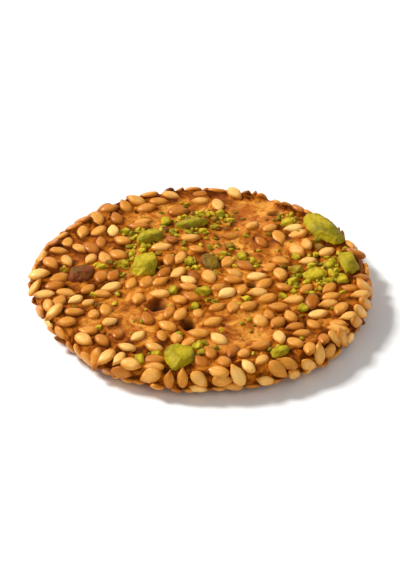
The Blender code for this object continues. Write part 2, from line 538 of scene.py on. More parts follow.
@dataclass(frozen=True)
class Topping:
    """What lies on the biscuit by name: smooth patches, nut pieces on both sides, drifts and open bubbles."""

    bare: tuple[Patch, ...] = (
        Patch(*mm(3.5, 16.0, 12.0, 6.5)),
        Patch(*mm(7.0, 8.0, 7.5, 4.5)),
        Patch(*mm(-12.5, -10.0, 4.5, 6.0)),
        Patch(*mm(6.5, -13.0, 4.5, 4.5)),
    )
    over: tuple[Nut, ...] = (
        Nut(*mm(-8.2, 2.8, 6.8, 4.6, 3.0), 72, 0.10, 0.80),
        Nut(*mm(-7.6, 9.8, 5.4, 3.3, 2.4), 42, 0.35, 0.45),
        Nut(*mm(-1.2, 13.8, 6.6, 2.8, 2.2), 20, 0.45, 0.30),
        Nut(*mm(18.6, 12.2, 10.8, 4.1, 2.9), -57, 0.25, 0.62),
        Nut(*mm(22.2, 3.2, 6.4, 3.1, 2.5), -80, 0.30, 0.40),
        Nut(*mm(17.2, 0.4, 4.4, 3.1, 2.2), 15, 0.00, 0.95),
        Nut(*mm(-3.0, -20.4, 6.2, 4.7, 3.2), 78, 0.20, 0.70),
        Nut(*mm(1.6, 3.4, 4.6, 2.9, 2.0), -62, 0.60, 0.05),
        Nut(*mm(-17.8, 0.8, 5.2, 3.8, 1.9), 60, 1.00, 0.20),
        Nut(*mm(11.6, -19.0, 3.6, 2.4, 2.0), 40, 0.30, 0.60),
    )
    under: tuple[Nut, ...] = (
        Nut(*mm(9.0, 8.0, 4.2, 3.0, 1.6), 50, 0.30, 0.60),
        Nut(*mm(-12.0, -6.0, 3.8, 2.6, 1.5), -20, 0.10, 0.70),
        Nut(*mm(3.0, -15.0, 3.4, 2.6, 1.5), 95, 0.50, 0.40),
    )
    drifts: tuple[Drift, ...] = (
        Drift(mm(-11.6, 1.6), mm(-9.8, 10.4), 110),
        Drift(mm(-9.8, 10.4), mm(4.6, 16.0), 160),
        Drift(mm(-8.0, 6.0), mm(2.0, 3.0), 40),
        Drift(mm(3.0, 6.0), mm(8.6, 2.0), 30),
        Drift(mm(13.8, 15.6), mm(22.0, 6.4), 150),
        Drift(mm(21.0, 6.8), mm(20.6, -1.6), 60),
        Drift(mm(20.6, -1.6), mm(13.8, -3.6), 70),
        Drift(mm(14.6, 4.4), mm(18.6, 3.4), 40),
        Drift(mm(-6.2, -20.6), mm(0.4, -19.0), 60),
        Drift(mm(-20.0, -4.0), mm(18.0, -8.0), 20),
    )
    pores: tuple[Pore, ...] = (
        Pore(*mm(-11.7, 7.2, 0.95, 1.2)),
        Pore(*mm(-6.1, -7.3, 1.20, 1.3)),
        Pore(*mm(-1.6, -12.2, 0.95, 1.1)),
        Pore(*mm(7.8, -2.3, 0.75, 0.8)),
        Pore(*mm(11.3, 17.1, 0.85, 0.9)),
    )

    def is_bare(self, x: float, y: float) -> bool:
        """True where the flat side shows smooth dough."""
        return any(patch.share(x, y) < 1 for patch in self.bare)

    def is_near_nut(self, x: float, y: float, over: bool, reach: float) -> bool:
        """True within this reach of a nut piece of one side."""
        return any(nut.share(x, y, reach) < 1 for nut in (self.over if over else self.under))

    def is_pore(self, x: float, y: float, reach: float) -> bool:
        """True within this reach of an open bubble of the flat side."""
        return any(math.hypot(x - pore.x, y - pore.y) < pore.radius + reach for pore in self.pores)


# --- Finishes --------------------------------------------------------------------------------------------


@dataclass(frozen=True)
class Pattern:
    """A noise in a material: how far apart its hills are, its finer layers, their strength, and its warp."""

    size: float
    detail: float = 3.0
    rough: float = 0.5
    warp: float = 0.0


@dataclass(frozen=True)
class Relief:
    """A bump in a material: how high it is, and how strongly it shows."""

    height: float
    strength: float


@dataclass(frozen=True)
class Seep:
    """Light that seeps through a surface: its share, how red, green and blue spread, and how far."""

    weight: float
    radius: tuple[float, float, float]
    scale: float


def add_node(
    tree: bpy.types.NodeTree, kind: str, inputs: dict[str | int, object], **settings: object
) -> bpy.types.Node:
    """Adds a shader node.

    Args:
        tree: The nodes that it joins.
        kind: Its type, as Blender names it after "ShaderNode".
        inputs: For each input, by name or number, the socket that feeds it or its own value.
        **settings: The node's own settings.

    Returns:
        The node.
    """
    node = tree.nodes.new(f"ShaderNode{kind}")
    for name, value in settings.items():
        setattr(node, name, value)
    for name, value in inputs.items():
        if isinstance(value, Socket):
            tree.links.new(value, node.inputs[name])
        else:
            node.inputs[name].default_value = value
    return node


def map_range(tree: bpy.types.NodeTree, source: Socket, limits: Range, result: Range, curve: str) -> Socket:
    """Stretches what lies between two limits over another range, and holds it there.

    Args:
        tree: The nodes that this joins.
        source: The value.
        limits: The two limits.
        result: What comes out at each limit.
        curve: The way between them, as Blender names it.

    Returns:
        The new value.
    """
    names = ("From Min", "From Max", "To Min", "To Max")
    inputs = {"Value": source, **dict(zip(names, (*limits, *result)))}
    return add_node(tree, "MapRange", inputs, interpolation_type=curve).outputs["Result"]


class Shader:
    """A material and the nodes that colour it, all in the piece's own coordinates."""

    def __init__(self, name: str) -> None:
        """Starts a material with one Principled shader.

        Args:
            name: The material's name.
        """
        self.material = bpy.data.materials.new(name)
        self.material.use_nodes = True
        self.tree = self.material.node_tree
        self.surface = self.tree.nodes["Principled BSDF"]
        self.coordinates = add_node(self.tree, "TexCoord", {}).outputs["Object"]

    def set(self, **values: object) -> None:
        """Sets the shader's own values, named with _ for a space."""
        for name, value in values.items():
            self.surface.inputs[name.replace("_", " ").title().replace("Ior", "IOR")].default_value = value

    def let_light_in(self, seep: Seep) -> None:
        """Lets light seep through the surface."""
        self.set(subsurface_weight=seep.weight, subsurface_radius=seep.radius, subsurface_scale=seep.scale)

    def feed(self, source: Socket, name: str) -> None:
        """Leads a varying value to one of the shader's inputs."""
        self.tree.links.new(source, self.surface.inputs[name])

    def noise(self, pattern: Pattern) -> Socket:
        """Noise of this pattern, from 0 to 1.

        Args:
            pattern: The pattern.

        Returns:
            The noise's value.
        """
        inputs = {"Vector": self.coordinates, "Scale": 1 / pattern.size, "Detail": pattern.detail}
        inputs |= {"Roughness": pattern.rough, "Distortion": pattern.warp}
        return add_node(self.tree, "TexNoise", inputs).outputs["Fac"]

    def streaks(self, name: str, size: float, stretch: float) -> Socket:
        """Noise on a painted vector, drawn out along its first axis.

        Args:
            name: The vector's name on the mesh.
            size: The distance between streaks.
            stretch: How many times longer than wide they are.

        Returns:
            The noise's value, from 0 to 1.
        """
        vector = add_node(self.tree, "Attribute", {}, attribute_name=name).outputs["Vector"]
        drawn_out = add_node(self.tree, "Mapping", {"Vector": vector, "Scale": (1 / stretch, 1.0, 1.0)})
        inputs = {"Vector": drawn_out.outputs["Vector"], "Scale": 1 / size}
        return add_node(self.tree, "TexNoise", inputs).outputs["Fac"]

    def cells(self, size: float) -> Socket:
        """The distance to the nearest of many scattered points, this far apart."""
        inputs = {"Vector": self.coordinates, "Scale": 1 / size}
        return add_node(self.tree, "TexVoronoi", inputs).outputs["Distance"]

    def painted(self, name: str) -> Socket:
        """The number that the mesh holds at each point under this name."""
        return add_node(self.tree, "Attribute", {}, attribute_name=name).outputs["Fac"]

    def reckon(self, operation: str, *values: Socket | float) -> Socket:
        """Values put together by a product or another operation."""
        return add_node(self.tree, "Math", dict(enumerate(values)), operation=operation).outputs[0]

    def total(self, offset: float, *terms: tuple[Socket, float]) -> Socket:
        """Adds up varying values.

        Args:
            offset: A fixed value that the sum starts with.
            *terms: Each varying value and its weight.

        Returns:
            The sum.
        """
        for value, weight in terms:
            offset = self.reckon("MULTIPLY_ADD", value, weight, offset)
        return offset

    def spread(self, source: Socket, limits: Range, result: Range = (0.0, 1.0)) -> Socket:
        """Stretches what lies between two limits over another range, by an S-curve, and holds it there."""
        return map_range(self.tree, source, limits, result, "SMOOTHSTEP")

    def ramp(self, source: Socket, stops: Sequence[float], *colours: Colour) -> Socket:
        """Colours that a value runs through.

        Args:
            source: The value.
            stops: The value of each colour, in order.
            *colours: The screen colours.

        Returns:
            The colour.
        """
        node = add_node(self.tree, "ValToRGB", {"Fac": source})
        elements = node.color_ramp.elements
        while len(elements) < len(stops):
            elements.new(1.0)
        for element, position, colour in zip(elements, stops, colours):
            element.position = position
            element.color = linear(colour)
        return node.outputs["Color"]

    def mix(self, share: Socket, first: Socket, second: Socket | Colour) -> Socket:
        """One colour over another.

        Args:
            share: How much of the second one shows.
            first: The colour that lies below.
            second: The colour that lies above, varying or fixed.

        Returns:
            The colour.
        """
        above = linear(second) if isinstance(second, tuple) else second
        inputs = {"Factor": share, FIRST_COLOUR: first, SECOND_COLOUR: above}
        return add_node(self.tree, "Mix", inputs, data_type="RGBA").outputs[MIXED_COLOUR]

    def bump(self, height: Socket, relief: Relief, under: Socket | None = None) -> Socket:
        """Fine relief over another one or over the bare mesh.

        Args:
            height: The relief's form, from 0 to 1.
            relief: How high and how strong it is.
            under: The normal of the relief below, if there is one.

        Returns:
            The normal.
        """
        inputs = {"Height": height, "Distance": relief.height, "Strength": relief.strength}
        if under is not None:
            inputs["Normal"] = under
        return add_node(self.tree, "Bump", inputs).outputs["Normal"]


@dataclass(frozen=True)
class DoughFinish:
    """Baked, buttery dough: golden where it is smooth, brown at the edge and on its high spots, and with
    painted shade round and between its seeds and in its pores and cracks.
    """

    pale: Colour = (229, 156, 64)
    golden: Colour = (190, 113, 30)
    brown: Colour = (146, 74, 8)
    dark: Colour = (80, 32, 2)
    stops: tuple[float, ...] = (0.0, 0.34, 0.68, 1.0)
    flush: Colour = (180, 86, 30)
    # painted shade at the bottom of pores and cracks
    hole_shade: Colour = (40, 14, 2)
    offset: float = -0.55
    mottle: Pattern = Pattern(2.6 * MM, detail=6, rough=0.66, warp=0.6)
    mottle_limits: Range = (0.3, 0.7)
    mottle_weight: float = 0.98
    fine: Pattern = Pattern(0.5 * MM, detail=4, rough=0.6)
    fine_weight: float = 0.34
    flushes: Pattern = Pattern(4.5 * MM, detail=5, rough=0.65, warp=0.3)
    flush_limits: Range = (0.42, 0.72)
    flush_share: Range = (0.0, 0.8)
    gloss: Pattern = Pattern(1.4 * MM)
    gloss_limits: Range = (0.3, 0.7)
    roughness: Range = (0.46, 0.70)
    shine: Range = (0.02, 0.14)
    shine_tint: tuple[float, ...] = (1.0, 0.72, 0.4, 1.0)
    grain: Pattern = Pattern(0.22 * MM, detail=3, rough=0.6)
    grain_relief: Relief = Relief(0.08 * MM, 0.8)
    prick_size: float = 0.55 * MM
    prick_limits: Range = (0.05, 0.32)
    prick_relief: Relief = Relief(0.08 * MM, 0.6)
    seep: Seep = Seep(0.15, (1.0, 0.42, 0.14), 0.6 * MM)

    def material(self) -> bpy.types.Material:
        """Makes the material.

        Returns:
            The dough's material, which reads three numbers painted on its mesh: its browning together with
            painted shade round and between the seeds, painted shade in its pores and cracks, and how open the
            dough is.
        """
        shader = Shader("baked_dough")
        smooth = shader.painted("open")
        # tone: real browning and mottling, plus painted shade round and between the seeds
        tone = shader.total(
            self.offset,
            (shader.spread(shader.noise(self.mottle), self.mottle_limits), self.mottle_weight),
            (shader.noise(self.fine), self.fine_weight),
            (shader.painted("browning_and_shade"), 1.0),
        )
        colour = shader.ramp(tone, self.stops, self.pale, self.golden, self.brown, self.dark)
        flush = shader.spread(shader.noise(self.flushes), self.flush_limits, self.flush_share)
        colour = shader.mix(shader.reckon("MULTIPLY", flush, smooth), colour, self.flush)
        # painted shade: pores and cracks darkened towards a near-black brown
        colour = shader.mix(shader.painted("pit_shade"), colour, self.hole_shade)
        shader.feed(colour, "Base Color")
        gloss = shader.spread(shader.noise(self.gloss), self.gloss_limits, self.roughness)
        shader.feed(gloss, "Roughness")
        shader.feed(shader.spread(smooth, (0.0, 1.0), self.shine), "Specular IOR Level")
        relief = shader.bump(shader.noise(self.grain), self.grain_relief)
        pricks = shader.spread(shader.cells(self.prick_size), self.prick_limits)
        shader.feed(shader.bump(pricks, self.prick_relief, under=relief), "Normal")
        shader.let_light_in(self.seep)
        shader.set(specular_tint=self.shine_tint)
        return shader.material


@dataclass(frozen=True)
class SesameFinish:
    """Toasted sesame seeds with a thin glaze, from cream to brown, and with painted shade where they sink
    into the dough.
    """

    cream: Colour = (249, 198, 113)
    golden: Colour = (214, 142, 50)
    toasted: Colour = (177, 98, 17)
    brown: Colour = (114, 54, 7)
    stops: tuple[float, ...] = (0.0, 0.35, 0.7, 1.0)
    offset: float = -0.30
    mottle: Pattern = Pattern(0.9 * MM, detail=4, rough=0.6)
    mottle_weight: float = 0.30
    vein_size: float = 0.28 * MM
    vein_stretch: float = 5.0
    vein_weight: float = 0.24
    vein_relief: Relief = Relief(0.06 * MM, 0.5)
    margin_weight: float = 0.20
    # painted shade: how much darker a seed is towards its base in the dough
    base_shade_weight: float = 0.40
    gloss: Pattern = Pattern(1.1 * MM)
    gloss_limits: Range = (0.3, 0.7)
    roughness: Range = (0.30, 0.52)
    shine: float = 0.4
    shine_tint: tuple[float, ...] = (1.0, 0.7, 0.38, 1.0)
    grain: Pattern = Pattern(0.2 * MM, detail=3)
    grain_relief: Relief = Relief(0.04 * MM, 0.6)
    seep: Seep = Seep(0.2, (1.0, 0.5, 0.18), 0.5 * MM)

    def material(self) -> bpy.types.Material:
        """Makes the material.

        Returns:
            The seeds' material, which reads the painted numbers toast, margin and sunk, and the vector grain;
            sunk darkens each seed's lower part as painted shade where it meets the dough.
        """
        shader = Shader("sesame_seed")
        veins = shader.streaks("grain", self.vein_size, self.vein_stretch)
        tone = shader.total(
            self.offset,
            (shader.painted("toast"), 1.0),
            (shader.noise(self.mottle), self.mottle_weight),
            (veins, self.vein_weight),
            (shader.painted("margin"), self.margin_weight),
            # painted shade at each seed's base, where it meets the dough
            (shader.painted("sunk"), self.base_shade_weight),
        )
        colour = shader.ramp(tone, self.stops, self.cream, self.golden, self.toasted, self.brown)
        shader.feed(colour, "Base Color")
        gloss = shader.spread(shader.noise(self.gloss), self.gloss_limits, self.roughness)
        shader.feed(gloss, "Roughness")
        relief = shader.bump(shader.noise(self.grain), self.grain_relief)
        shader.feed(shader.bump(veins, self.vein_relief, under=relief), "Normal")
        shader.let_light_in(self.seep)
        shader.set(specular_ior_level=self.shine, specular_tint=self.shine_tint)
        return shader.material


@dataclass(frozen=True)
class PistachioFinish:
    """Chopped pistachio: yellow green where it is cut, greener near its skin, which is olive to red brown."""

    heart: Colour = (214, 186, 52)
    kernel: Colour = (186, 161, 16)
    green: Colour = (128, 116, 8)
    stops: tuple[float, ...] = (0.0, 0.4, 0.9)
    olive: Colour = (98, 78, 12)
    russet: Colour = (120, 57, 20)
    skin_stops: tuple[float, ...] = (0.30, 0.52)
    mottle: Pattern = Pattern(1.1 * MM, detail=5, rough=0.6, warp=0.4)
    mottle_weight: float = 0.5
    ripe_weight: float = -0.45
    patches: Pattern = Pattern(1.7 * MM, detail=4, rough=0.65)
    gloss_limits: Range = (0.3, 0.7)
    roughness: Range = (0.4, 0.62)
    shine: float = 0.18
    shine_tint: tuple[float, ...] = (1.0, 0.9, 0.6, 1.0)
    grain: Pattern = Pattern(0.3 * MM, detail=4, rough=0.65)
    grain_relief: Relief = Relief(0.12 * MM, 0.8)
    seep: Seep = Seep(0.15, (0.8, 0.7, 0.2), 0.5 * MM)

    def material(self) -> bpy.types.Material:
        """Makes the material.

        Returns:
            The kernel's material, which reads the painted numbers depth, skin and ripe.
        """
        shader = Shader("pistachio_kernel")
        mottle = shader.noise(self.mottle)
        tone = shader.total(
            0.0,
            (shader.painted("depth"), 1.0),
            (mottle, self.mottle_weight),
            (shader.painted("ripe"), self.ripe_weight),
        )
        kernel = shader.ramp(tone, self.stops, self.heart, self.kernel, self.green)
        skin = shader.ramp(shader.noise(self.patches), self.skin_stops, self.olive, self.russet)
        shader.feed(shader.mix(shader.painted("skin"), kernel, skin), "Base Color")
        shader.feed(shader.spread(mottle, self.gloss_limits, self.roughness), "Roughness")
        shader.feed(shader.bump(shader.noise(self.grain), self.grain_relief), "Normal")
        shader.let_light_in(self.seep)
        shader.set(specular_ior_level=self.shine, specular_tint=self.shine_tint)
        return shader.material


# --- Sesame seeds ----------------------------------------------------------------------------------------


@dataclass(frozen=True)
class Seed:
    """One sesame seed where it lies in the dough, and the share of it that stands out."""

    matrix: Matrix
    side: Side
    proud: float


@dataclass
class SeedBed:
    """Where the seeds and the small bits of nut lie.

    The seeds of the part's solid come first, and then more of them in the gaps. A bit keeps the shares
    bit_room of its length free of nuts and bubbles, of seeds, and of other bits. A further seed keeps the
    shares seed_room of half its width free of nuts, of bits and of bubbles.
    """

    disc: BakedDisc
    topping: Topping
    length: float = 3.2 * MM
    width: float = 2.0 * MM
    thickness: float = 1.05 * MM
    proud: float = 0.64
    spread: float = 0.1
    lean: float = math.radians(7)
    draw_seed: int = 27
    tries: int = 7000
    spacing: dict[Side, float] = field(default_factory=lambda: per_side(3.2 * MM, 2.65 * MM, 3.6 * MM))
    spine_share: float = 0.3
    nut_clearance: float = 0.5 * MM
    bit_seed: int = 8
    bit_length: Range = (1.1 * MM, 2.9 * MM)
    bit_width: Range = (0.62, 0.9)
    bit_height: Range = (0.5, 0.75)
    bit_skin: Range = (0.3, 1.0)
    bit_skin_chance: float = 0.25
    bit_ripe: Range = (0.0, 0.8)
    bit_spread: float = 1.1 * MM
    bit_clearance: float = 0.4 * MM
    bit_room: tuple[float, float, float] = (0.3, 0.4, 0.35)
    seed_room: tuple[float, float, float] = (0.7, 0.6, 0.8)
    fill_seed: int = 5
    fill_tries: int = 22000
    fill_turns: int = 8
    fill_gap: dict[Side, float] = field(default_factory=lambda: per_side(1.36 * MM, 1.13 * MM, 1.13 * MM))
    fill_sunk: float = 0.22
    fill_lean: float = math.radians(11)
    fill_spread: float = 1.4
    most: int = 1500
    neighbourhood: float = 1.6
    thin_size: float = 6 * MM
    thin: float = 0.35
    stray: float = 0.016
    stray_sunk: float = 0.08
    seeds: list[Seed] = field(default_factory=list)
    bits: list[Nut] = field(default_factory=list)
    spines: np.ndarray | None = None

    def lay(self, stand: Matrix, side: Side, turn: float, lean: float, size: float, proud: float) -> Seed:
        """Lays one seed on the dough.

        Args:
            stand: A matrix that stands on the dough there.
            side: The side of the biscuit that this is on.
            turn: How it is turned on the surface.
            lean: How far its length leans out of the surface.
            size: How large it is, as a share of the mean seed.
            proud: The share of its thickness that stands out of the dough.

        Returns:
            The seed.
        """
        lift = Matrix.Translation((0, 0, self.thickness * (proud - 0.5)))
        turned = Matrix.Rotation(turn, 4, "Z") @ Matrix.Rotation(lean, 4, "Y") @ Matrix.Scale(size, 4)
        return Seed(stand @ lift @ turned, side, proud)

    def throw_main(self) -> None:
        """Throws the seeds that the part's solid has, in the same places."""
        draw, kept = random.Random(self.draw_seed), []
        reach = self.width / 2 + self.nut_clearance
        for _ in range(self.tries):
            angle, place = self.disc.thrown(draw)
            turn = math.tau * draw.random()
            lean = self.lean * (2 * draw.random() - 1)
            size = 1 + self.spread * (2 * draw.random() - 1)
            at = self.disc.point(angle, place)
            over = place < self.disc.rim_place
            if over and self.topping.is_bare(at.x, at.y) or self.topping.is_near_nut(at.x, at.y, over, reach):
                continue
            side = self.disc.side(place)
            if all((at - other).length > self.spacing[side] for other in kept):
                kept.append(at)
                stand = self.disc.stand(angle, place)
                self.seeds.append(self.lay(stand, side, turn, lean, size, self.proud))

    def spine(self, seed: Seed) -> np.ndarray:
        """Three points along a seed's length, which keep others away."""
        reach = self.spine_share * self.length
        return np.array([seed.matrix @ Vector((along, 0, 0)) for along in (-reach, 0, reach)])

    def sprinkle(self) -> None:
        """Lays small bits of nut along the drifts, wherever the seeds and nuts of the solid leave room."""
        draw = random.Random(self.bit_seed)
        spines = np.concatenate([self.spine(seed) for seed in self.seeds])
        for drift in self.topping.drifts:
            for _ in range(drift.thrown):
                x, y = drift.spot(draw, self.bit_spread)
                length = draw.uniform(*self.bit_length)
                width = length * draw.uniform(*self.bit_width)
                height = length * draw.uniform(*self.bit_height)
                skin = draw.uniform(*self.bit_skin) if draw.random() < self.bit_skin_chance else 0.0
                turn, ripe = 360 * draw.random(), draw.uniform(*self.bit_ripe)
                bit = Nut(x, y, length, width, height, turn, skin, ripe)
                if self.is_free(bit, spines):
                    self.bits.append(bit)

    def is_free(self, bit: Nut, spines: np.ndarray) -> bool:
        """Finds whether a bit of nut has its place on the flat side to itself.

        Args:
            bit: The bit of nut.
            spines: Points along the seeds that are there already.

        Returns:
            True where it touches no seed, no nut, no bubble and no other bit.
        """
        if math.hypot(bit.x, bit.y) > self.disc.flat_radius * self.disc.edge_pull(math.atan2(bit.y, bit.x)):
            return False
        from_nuts, from_seeds, from_bits = (share * bit.length for share in self.bit_room)
        if self.topping.is_near_nut(bit.x, bit.y, True, from_nuts):
            return False
        if self.topping.is_pore(bit.x, bit.y, from_nuts):
            return False
        at = np.array(self.disc.point(*self.disc.place_at(bit.x, bit.y, True)))
        if np.linalg.norm(spines - at, axis=1).min() < self.bit_clearance + from_seeds:
            return False
        return not any(other.share(bit.x, bit.y, from_bits) < 1 for other in self.bits)

    def is_kept_clear(self, at: Vector, side: Side, stray: float) -> bool:
        """Finds whether a further seed may not lie here.

        Args:
            at: The seed's place.
            side: The side of the biscuit that this is on.
            stray: A throw from 0 to 1: the lowest ones may lie on smooth dough.

        Returns:
            True on smooth dough, on a nut or a bit of one, and in a bubble.
        """
        over = side is Side.OVER or side is Side.RIM and at.z > self.disc.rim_middle
        if over and self.topping.is_bare(at.x, at.y) and stray > self.stray:
            return True
        from_nuts, from_bits, from_pores = (share * self.width / 2 for share in self.seed_room)
        if self.topping.is_near_nut(at.x, at.y, over, from_nuts):
            return True
        if not over:
            return False
        if any(bit.share(at.x, at.y, from_bits) < 1 for bit in self.bits):
            return True
        return self.topping.is_pore(at.x, at.y, from_pores)

    def fill(self) -> None:
        """Fills the gaps: each further seed turns the way that has the most room, and may lie deeper."""
        draw = random.Random(self.fill_seed)
        spines = np.ones((self.most, 3, 3))  # a metre off until a seed is laid
        for number, seed in enumerate(self.seeds):
            spines[number] = self.spine(seed)
        for _ in range(self.fill_tries):
            angle, place = self.disc.thrown(draw)
            at, side = self.disc.point(angle, place), self.disc.side(place)
            first_turn, stray = math.tau * draw.random(), draw.random()
            lean = self.fill_lean * (2 * draw.random() - 1)
            size = 1 + self.fill_spread * self.spread * (2 * draw.random() - 1)
            proud = self.proud - self.fill_sunk * draw.random()
            if self.is_kept_clear(at, side, stray):
                continue
            if side is Side.OVER and self.topping.is_bare(at.x, at.y):
                proud -= self.stray_sunk * draw.random()
            thinned = self.thin * max(0.0, noise.noise(at / self.thin_size)) if side is Side.OVER else 0.0
            away = np.abs(spines[:, 1] - np.array(at)).max(axis=1)
            near = spines[away < self.neighbourhood * self.length]
            stand = self.disc.stand(angle, place)
            tried = []
            for step in range(self.fill_turns):
                turn = first_turn + math.pi * step / self.fill_turns
                seed = self.lay(stand, side, turn, lean, size, proud)
                tried.append((self.clearance(self.spine(seed), near), step, seed))
            room, _, best = max(tried)
            if room > self.fill_gap[side] * (1 + thinned):
                spines[len(self.seeds)] = self.spine(best)
                self.seeds.append(best)

    def room_at(self, x: float, y: float) -> float:
        """The room that the seeds leave, once all are laid.

        Args:
            x: How far to the right a point of the flat side is.
            y: How far to the back it is.

        Returns:
            How far that point is from the nearest seed's spine.
        """
        if self.spines is None:
            self.spines = np.concatenate([self.spine(seed) for seed in self.seeds])
        at = np.array(self.disc.point(*self.disc.place_at(x, y, True)))
        return float(np.linalg.norm(self.spines - at, axis=1).min())

    @staticmethod
    def clearance(spine: np.ndarray, others: np.ndarray) -> float:
        """The smallest distance from a seed's points to those of its neighbours."""
        gaps = others[:, :, None, :] - spine[None, None, :, :]
        return float(np.sqrt((gaps**2).sum(axis=-1).min(initial=1.0)))

    def throw(self) -> None:
        """Lays all the seeds, those of the part's solid first, and the bits of nut."""
        self.throw_main()
        main_count = len(self.seeds)
        self.sprinkle()
        self.fill()
        LOG.info("sesame: %d seeds of the solid, %d in all", main_count, len(self.seeds))
        LOG.info("pistachio: %d small bits", len(self.bits))


@dataclass
class SesameCoat:
    """The sesame seeds as one mesh, made from a few seeds that are modelled once.

    The tip, margin and pointed fields, and the fade of the painted shade at a seed's base, are each the start
    and the length of a fade.
    """

    bed: SeedBed
    finish: SesameFinish = SesameFinish()
    segments: int = 14
    bands: int = 6
    kinds: int = 9
    taper: float = 0.45
    taper_spread: float = 0.12
    bend: float = 0.12
    twist: float = 0.20
    width_spread: float = 0.08
    flatness: float = 0.8
    dimple: float = 0.35
    dimple_shift: Range = (-0.2, 0.3)
    dimple_falloff: float = 3.5
    point: float = 0.1
    tip: Range = (0.88, 0.12)
    margin: Range = (0.62, 0.4)
    pointed: Range = (0.5, 0.5)
    # where the painted shade at a seed's base starts, and how long it fades
    base_shade_fade: Range = (-0.1, 0.5)
    grain_step: float = 7 * MM
    baked: dict[Side, float] = field(default_factory=lambda: per_side(0.36, 0.32, 0.42))
    baked_sunk: float = 0.4
    baked_spread: float = 0.16
    baked_most: float = 0.95
    draw_seed: int = 11

    def model_seed(self, draw: random.Random) -> tuple[np.ndarray, list[tuple[int, ...]]]:
        """Models one kind of seed: a flat teardrop, a little bent and dimpled.

        Args:
            draw: Where its own bend and dimple come from.

        Returns:
            Its points, and the points of each face.
        """
        bed = self.bed
        bpy.ops.object.select_all(action="DESELECT")
        bpy.ops.mesh.primitive_uv_sphere_add(segments=self.segments, ring_count=self.bands, radius=0.5)
        piece = bpy.context.object
        points = points_of(piece)
        along, across, up = 2 * points[:, 0], 2 * points[:, 1], 2 * points[:, 2]
        taper = 1 - (self.taper + self.taper_spread * draw.uniform(-1, 1)) * fade(along, 0.0, 1.0)
        bend = self.bend * draw.uniform(-1, 1)
        twist = self.twist * draw.uniform(-1, 1)
        hollow = draw.uniform(0.0, self.dimple)
        away = (along + draw.uniform(*self.dimple_shift)) ** 2 + across**2
        dimple = hollow * np.exp(-away * self.dimple_falloff)
        width = 1 + self.width_spread * draw.uniform(-1, 1)
        flat = np.sign(up) * np.abs(up) ** self.flatness * (1 - dimple) + twist * across * along
        points[:, 0] = bed.length / 2 * (along + self.point * fade(along, *self.tip))
        points[:, 1] = bed.width / 2 * width * (across * taper + bend * (1 - along**2))
        points[:, 2] = bed.thickness / 2 * flat
        faces = [tuple(polygon.vertices) for polygon in piece.data.polygons]
        bpy.data.objects.remove(piece)
        return points, faces

    def toast(self, seed: Seed, draw: random.Random) -> float:
        """How brown a seed is baked: most on the side that lay on the tray, and each a little differently."""
        deep = self.baked_sunk * (self.bed.proud - seed.proud)
        return min(self.baked_most, max(0.0, draw.gauss(self.baked[seed.side] + deep, self.baked_spread)))

    def build(self) -> bpy.types.Object:
        """Copies the kinds of seed to every place and joins the copies.

        Returns:
            The seeds' piece.
        """
        bed, draw = self.bed, random.Random(self.draw_seed)
        kinds = [self.model_seed(draw) for _ in range(self.kinds)]
        points, faces, first = [], [], 0
        painted = {name: [] for name in ("toast", "margin", "sunk", "grain")}
        for number, seed in enumerate(bed.seeds):
            local, polygons = kinds[number % self.kinds]
            matrix = np.array(seed.matrix)
            points.append(local @ matrix[:3, :3].T + matrix[:3, 3])
            faces += [tuple(first + corner for corner in polygon) for polygon in polygons]
            first += len(local)
            along, across = local[:, 0] / (bed.length / 2), local[:, 1] / (bed.width / 2)
            painted["toast"].append(np.full(len(local), self.toast(seed, draw)))
            painted["margin"].append(fade(np.hypot(along, across), *self.margin) + fade(along, *self.pointed))
            # painted shade: each seed darker towards its base, where it meets the dough
            painted["sunk"].append(fade(-local[:, 2] / bed.thickness, *self.base_shade_fade))
            painted["grain"].append(local + (self.grain_step * number, 0, 0))
        mesh = bpy.data.meshes.new("sesame_seeds")
        mesh.from_pydata(held_above(np.concatenate(points), 0.0).tolist(), [], faces)
        mesh.shade_smooth()
        piece = add_object("sesame_seeds", mesh)
        for name, values in painted.items():
            paint(piece, name, np.concatenate(values))
        dress(piece, "sesame_seeds", self.finish.material())
        return piece


# --- Chopped pistachio -----------------------------------------------------------------------------------


